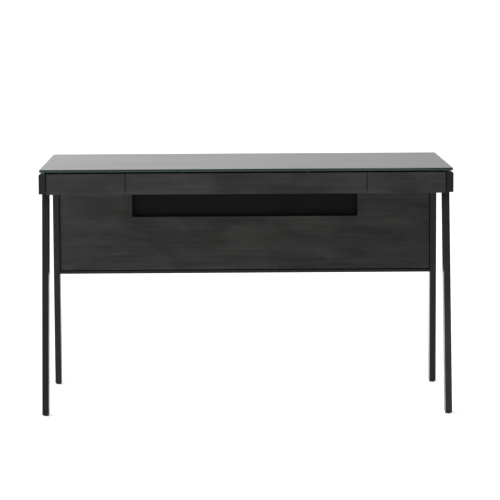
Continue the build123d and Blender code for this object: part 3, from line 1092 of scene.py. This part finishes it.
class DESK_OT_drawers(bpy.types.Operator):
    """Veneer the drawer fronts and give the drawer boxes their plywood"""

    bl_idname = "desk.drawers"
    bl_label = "Drawers"

    def execute(self, context):
        front = stained_ash("stained_ash_fronts", 0)
        sides = birch_plywood("birch_ply_sides", 1, 0)
        ends = birch_plywood("birch_ply_ends", 0, 1)
        bottom = birch_plywood("birch_ply_bottoms", 0, 2)
        for drawer in DRAWERS:
            dress(front, f"{drawer}_drawer_front")
            dress(sides, f"{drawer}_drawer_side_left", f"{drawer}_drawer_side_right")
            dress(ends, f"{drawer}_drawer_box_front", f"{drawer}_drawer_back")
            dress(bottom, f"{drawer}_drawer_bottom")
        return {"FINISHED"}


class DESK_OT_slides(bpy.types.Operator):
    """Plate the ball-bearing slides and screw their runners to the drawers"""

    bl_idname = "desk.slides"
    bl_label = "Slides"

    def execute(self, context):
        zinc = coat("zinc_plated_steel")
        dress(zinc, "channel_screws")
        head_radius = context.scene.desk_hardware.slide_screw / 2
        for drawer in DRAWERS:
            for part in ("slide_channels", "slide_runners", "ball_cages"):
                dress(zinc, f"{drawer}_{part}")
            box_low, box_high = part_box(f"{drawer}_slide_runners")
            places = []
            for low, high in solid_boxes(f"{drawer}_slide_runners"):
                middle_x = (low.x + high.x) / 2
                outward = math.copysign(1.0, middle_x - (box_low.x + box_high.x) / 2)
                web = (low.x if outward > 0 else high.x) + outward * RUNNER_SHEET
                for part in RUNNER_SCREW_PLACES:
                    y = low.y + part * (high.y - low.y)
                    places.append(((web, y, (low.z + high.z) / 2), (outward, 0.0, 0.0)))
            screw = pan_screw(head_radius)
            piece = set_fasteners(f"{drawer}_runner_screws", screw, places, zinc, 13)
            keep_piece(piece, f"{drawer}_drawer", "zinc_steel")
        return {"FINISHED"}


class DESK_OT_stage(bpy.types.Operator):
    """Set the pale floor, the soft studio light and the camera"""

    bl_idname = "desk.stage"
    bl_label = "Studio"

    def execute(self, context):
        studio = context.scene.desk_studio
        self.make_floor(studio)
        self.make_surround(context, studio)
        self.make_lights(studio)
        self.make_camera(context, studio)
        context.scene.view_settings.view_transform = "Standard"
        return {"FINISHED"}

    def make_floor(self, studio):
        """A wide white acrylic floor, faintly uneven in tone and lit softly from below."""
        half = FLOOR_HALF
        mesh = bpy.data.meshes.new("studio_floor")
        corners = [(-half, -half, 0), (half, -half, 0), (half, half, 0), (-half, half, 0)]
        mesh.from_pydata(corners, [], [(0, 1, 2, 3)])
        material, tree, output = new_material("white_acrylic_floor")
        place = add_node(tree, "ShaderNodeTexCoord").outputs["Object"]
        cloud = add_node(tree, "ShaderNodeTexNoise", inputs={"Vector": place, "Scale": 0.8})
        tone = add_node(
            tree,
            "ShaderNodeMix",
            {"data_type": "RGBA"},
            {
                0: cloud.outputs["Fac"],
                6: rgba([c * 0.99 for c in studio.floor]),
                7: rgba(studio.floor),
            },
        )
        shader = add_node(
            tree,
            "ShaderNodeBsdfPrincipled",
            inputs={
                "Base Color": tone.outputs[2],
                "Roughness": 0.9,
                "Specular IOR Level": 0.1,
                "Emission Color": rgba(studio.floor),
                "Emission Strength": studio.floor_glow,
            },
        )
        tree.links.new(shader.outputs[0], output.inputs["Surface"])
        new_object("studio_floor", mesh, material)

    def make_surround(self, context, studio):
        """White walls all round, brighter on the left."""
        world = bpy.data.worlds.new("white_studio")
        world.use_nodes = True
        tree = world.node_tree
        tree.nodes.clear()
        way = add_node(tree, "ShaderNodeTexCoord").outputs["Generated"]
        parts = add_node(tree, "ShaderNodeSeparateXYZ", inputs={0: way})
        side = add_node(
            tree,
            "ShaderNodeMapRange",
            inputs={
                0: parts.outputs["X"],
                1: -SURROUND_BLEND,
                2: SURROUND_BLEND,
                3: studio.surround * SURROUND_LEFT,
                4: studio.surround * SURROUND_RIGHT,
            },
        )
        background = add_node(
            tree,
            "ShaderNodeBackground",
            inputs={"Color": (1.0, 1.0, 1.0, 1.0), "Strength": side.outputs[0]},
        )
        output = add_node(tree, "ShaderNodeOutputWorld", inputs={0: background.outputs[0]})
        output.is_active_output = True
        context.scene.world = world

    def make_lights(self, studio):
        """A large soft key in front on the left, and a small card beside the camera on the right."""
        self.add_softbox("soft_key", SOFT_KEY_SIZE, studio.key_power, SOFT_KEY_PLACE)
        self.add_softbox("leg_card", LEG_CARD_SIZE, studio.card_power, LEG_CARD_PLACE)

    def add_softbox(self, name, size, power, place):
        """A rectangular area light turned towards the middle of the desk."""
        data = bpy.data.lights.new(name, "AREA")
        data.shape = "RECTANGLE"
        data.size, data.size_y = size
        data.energy = power
        light = bpy.data.objects.new(name, data)
        bpy.context.scene.collection.objects.link(light)
        light.location = place
        aim = Vector(LIGHTS_AIM) - Vector(place)
        light.rotation_euler = aim.to_track_quat("-Z", "Y").to_euler()

    def make_camera(self, context, studio):
        """The camera, seven metres in front at chest height, looking slightly down."""
        data = bpy.data.cameras.new("front_camera")
        data.sensor_width = 36.0
        data.sensor_fit = "HORIZONTAL"
        data.lens = studio.lens
        data.clip_end = 200.0
        data.dof.use_dof = False
        camera = bpy.data.objects.new("front_camera", data)
        context.scene.collection.objects.link(camera)
        turn = (
            Matrix.Rotation(-CAMERA_YAW, 4, "Z")
            @ Matrix.Rotation(math.pi / 2 - CAMERA_PITCH, 4, "X")
            @ Matrix.Rotation(-CAMERA_ROLL, 4, "Z")
        )
        camera.matrix_world = Matrix.Translation(CAMERA_PLACE) @ turn
        context.scene.camera = camera


OPERATORS = (
    DESK_OT_stage,
    DESK_OT_glass_top,
    DESK_OT_steel_frame,
    DESK_OT_levelling_feet,
    DESK_OT_case,
    DESK_OT_modesty_panel,
    DESK_OT_fasteners,
    DESK_OT_drawers,
    DESK_OT_slides,
)


class DESK_PT_panel(bpy.types.Panel):
    """The desk's pieces, finishes and studio"""

    bl_idname = "DESK_PT_panel"
    bl_label = "Writing desk"
    bl_space_type = "VIEW_3D"
    bl_region_type = "UI"
    bl_category = "Desk"

    def draw(self, context):
        for operator in OPERATORS:
            self.layout.operator(operator.bl_idname)
        for group in (
            context.scene.desk_finishes,
            context.scene.desk_hardware,
            context.scene.desk_studio,
        ):
            box = self.layout.box()
            for name in group.__annotations__:
                box.prop(group, name)


GROUPS = {
    "desk_finishes": DeskFinishes,
    "desk_hardware": DeskHardware,
    "desk_studio": DeskStudio,
}


def register():
    for group in GROUPS.values():
        bpy.utils.register_class(group)
    for name, group in GROUPS.items():
        setattr(bpy.types.Scene, name, PointerProperty(type=group))
    for operator in OPERATORS:
        bpy.utils.register_class(operator)
    bpy.utils.register_class(DESK_PT_panel)


def unregister():
    bpy.utils.unregister_class(DESK_PT_panel)
    for operator in reversed(OPERATORS):
        bpy.utils.unregister_class(operator)
    for name in GROUPS:
        delattr(bpy.types.Scene, name)
    for group in reversed(GROUPS.values()):
        bpy.utils.unregister_class(group)


def main():
    register()
    for operator in OPERATORS:
        group, name = operator.bl_idname.split(".")
        getattr(getattr(bpy.ops, group), name)()


if __name__ == "__main__":
    main()
